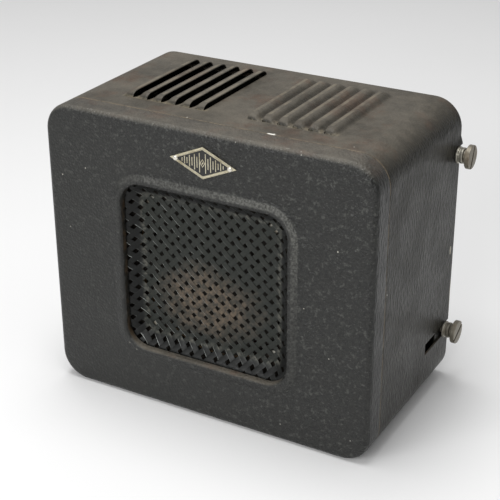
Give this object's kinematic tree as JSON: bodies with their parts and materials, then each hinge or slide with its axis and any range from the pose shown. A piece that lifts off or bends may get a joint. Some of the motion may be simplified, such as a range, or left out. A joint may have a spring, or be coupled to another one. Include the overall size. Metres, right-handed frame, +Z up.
{
  "type": "cabinet loudspeaker",
  "caption": "Dark steel cabinet loudspeaker with a woven metal grille, louvred top and a slide-in rear cover held by slotted clamp screws.",
  "frame": {"origin": "on the surface the case stands on, under the middle of the whole object's box", "axes": "+Z up, +X to the right seen from the front, the grille faces -Y"},
  "size_m": [0.2526, 0.1342, 0.2036],
  "materials": {
    "case_paint": "fine wrinkle enamel, dark grey, soft gloss",
    "grille_steel": "darkened woven steel strip, dusty and lightly rusted",
    "badge_metal": "tarnished silver-gold border with black enamel field",
    "nickel": "tarnished nickel plate",
    "zinc_steel": "dull zinc plate",
    "board": "hardboard",
    "card": "brown card and doped cloth",
    "cone_paper": "black paper felt",
    "basket_paint": "grey stoving paint",
    "soft_iron": "dull iron",
    "magnet_alloy": "cast alloy",
    "copper": "enamelled copper wire",
    "brass": "tinned brass",
    "paxolin": "brown laminate",
    "waxed_paper": "waxed paper wrap",
    "rubber": "black rubber",
    "lead_black": "rubber-covered wire",
    "lead_red": "rubber-covered wire"
  },
  "bodies": {
    "case": {"badge_plate": "badge_metal", "badge_rivet_left": "nickel", "badge_rivet_right": "nickel", "baffle_board": "board", "baffle_nut_ll": "zinc_steel", "baffle_nut_lr": "zinc_steel", "baffle_nut_ul": "zinc_steel", "baffle_nut_ur": "zinc_steel", "case_sleeve": "case_paint", "centring_spider": "card", "cone_surround": "cone_paper", "driver_basket": "basket_paint", "driver_bolt_ll": "zinc_steel", "driver_bolt_lr": "zinc_steel", "driver_bolt_ul": "zinc_steel", "driver_bolt_ur": "zinc_steel", "driver_nut_ll": "zinc_steel", "driver_nut_lr": "zinc_steel", "driver_nut_ul": "zinc_steel", "driver_nut_ur": "zinc_steel", "driver_tag_board": "paxolin", "driver_tag_left": "brass", "driver_tag_right": "brass", "front_panel": "case_paint", "gasket_ring": "card", "grille_mesh": "grille_steel", "input_tag_left": "brass", "input_tag_right": "brass", "magnet_slug": "magnet_alloy", "pole_piece": "soft_iron", "spacer_frame": "board", "speaker_lead_left": "lead_black", "speaker_lead_right": "lead_red", "tag_board": "paxolin", "top_plate": "soft_iron", "transformer_core": "soft_iron", "transformer_frame": "zinc_steel", "transformer_nut_left": "zinc_steel", "transformer_nut_right": "zinc_steel", "transformer_winding": "waxed_paper", "yoke_cup": "soft_iron", "yoke_rivet": "soft_iron"},
    "moving_cone": {"cone": "cone_paper", "dust_cap": "cone_paper", "coil_former": "card", "voice_coil": "copper"},
    "rear_cover": {"rear_panel": "case_paint", "cable_grommet": "rubber", "clamp_nut_lower_left": "zinc_steel", "clamp_nut_lower_right": "zinc_steel", "clamp_nut_upper_left": "zinc_steel", "clamp_nut_upper_right": "zinc_steel"},
    "collar_lower_left": {"clamp_collar_lower_left": "nickel"},
    "screw_lower_left": {"clamp_screw_lower_left": "nickel"},
    "collar_lower_right": {"clamp_collar_lower_right": "nickel"},
    "screw_lower_right": {"clamp_screw_lower_right": "nickel"},
    "collar_upper_left": {"clamp_collar_upper_left": "nickel"},
    "screw_upper_left": {"clamp_screw_upper_left": "nickel"},
    "collar_upper_right": {"clamp_collar_upper_right": "nickel"},
    "screw_upper_right": {"clamp_screw_upper_right": "nickel"}
  },
  "joints": [
    {"name": "cone_excursion", "type": "slide", "parent": "case", "child": "moving_cone", "axis": [0, -1, 0], "range_m": [-0.0012, 0.0012], "stiffness_N_per_m": 1500},
    {"name": "rear_cover_slide", "type": "slide", "parent": "case", "child": "rear_cover", "axis": [0, 1, 0], "range_m": [0, 0.03]},
    {"name": "clamp_travel_lower_left", "type": "slide", "parent": "rear_cover", "child": "collar_lower_left", "axis": [-1, 0, 0], "range_m": [0, 0.005]},
    {"name": "clamp_turn_lower_left", "type": "hinge", "parent": "collar_lower_left", "child": "screw_lower_left", "pos_m": [-0.12, 0.0554, 0.0393], "axis": [-1, 0, 0], "range_deg": [0, 1801]},
    {"name": "clamp_travel_lower_right", "type": "slide", "parent": "rear_cover", "child": "collar_lower_right", "axis": [1, 0, 0], "range_m": [0, 0.005]},
    {"name": "clamp_turn_lower_right", "type": "hinge", "parent": "collar_lower_right", "child": "screw_lower_right", "pos_m": [0.12, 0.0554, 0.0393], "axis": [1, 0, 0], "range_deg": [0, 1801]},
    {"name": "clamp_travel_upper_left", "type": "slide", "parent": "rear_cover", "child": "collar_upper_left", "axis": [-1, 0, 0], "range_m": [0, 0.005]},
    {"name": "clamp_turn_upper_left", "type": "hinge", "parent": "collar_upper_left", "child": "screw_upper_left", "pos_m": [-0.12, 0.0583, 0.165], "axis": [-1, 0, 0], "range_deg": [0, 1801]},
    {"name": "clamp_travel_upper_right", "type": "slide", "parent": "rear_cover", "child": "collar_upper_right", "axis": [1, 0, 0], "range_m": [0, 0.005]},
    {"name": "clamp_turn_upper_right", "type": "hinge", "parent": "collar_upper_right", "child": "screw_upper_right", "pos_m": [0.12, 0.0583, 0.165], "axis": [1, 0, 0], "range_deg": [0, 1801]}
  ],
  "couplings": [
    {"joint": "clamp_turn_lower_left", "follows": "clamp_travel_lower_left", "rad_per_m": 6283.2},
    {"joint": "clamp_turn_lower_right", "follows": "clamp_travel_lower_right", "rad_per_m": 6283.2},
    {"joint": "clamp_turn_upper_left", "follows": "clamp_travel_upper_left", "rad_per_m": 6283.2},
    {"joint": "clamp_turn_upper_right", "follows": "clamp_travel_upper_right", "rad_per_m": 6283.2}
  ]
}
